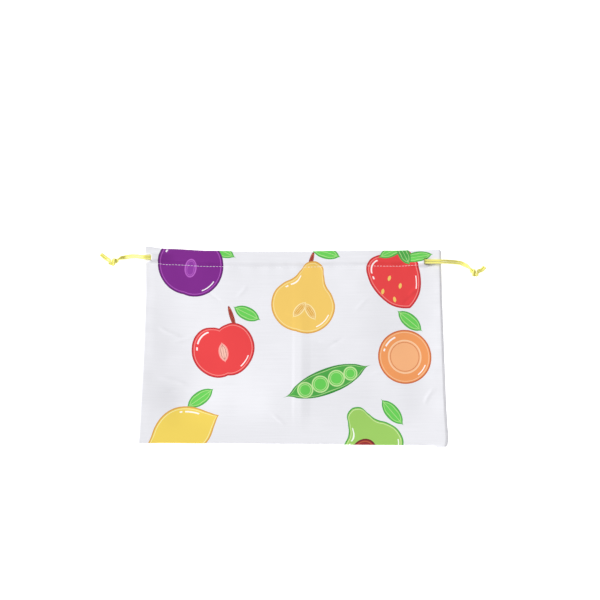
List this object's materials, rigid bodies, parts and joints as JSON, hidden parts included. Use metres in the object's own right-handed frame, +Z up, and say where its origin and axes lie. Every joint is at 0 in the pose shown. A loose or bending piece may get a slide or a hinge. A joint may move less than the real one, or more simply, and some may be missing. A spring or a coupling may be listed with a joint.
{
  "type": "drawstring produce bag",
  "caption": "Flat empty produce bag of white printed cloth, with a channel at its mouth and knotted yellow drawcords at both sides",
  "frame": {"origin": "on the table under the middle of the bag, cords left aside", "axes": "+X along the mouth to the right, +Y from the bottom fold to the mouth, +Z up out of the front of the bag"},
  "size_m": [0.399, 0.203, 0.0142],
  "materials": {
    "cloth": "smooth printed polyester with a soft sheen",
    "cord": "round satin cord"
  },
  "bodies": {
    "root": {"front_panel": "cloth", "back_panel": "cloth", "bottom_fold": "cloth", "left_side_seam": "cloth", "right_side_seam": "cloth", "front_channel": "cloth", "back_channel": "cloth", "left_cord_in_channel": "cord", "right_cord_in_channel": "cord", "left_strand_upper": "cord", "left_strand_lower": "cord", "right_strand_upper": "cord", "right_strand_lower": "cord", "left_knot": "cord", "right_knot": "cord"}
  },
  "joints": []
}
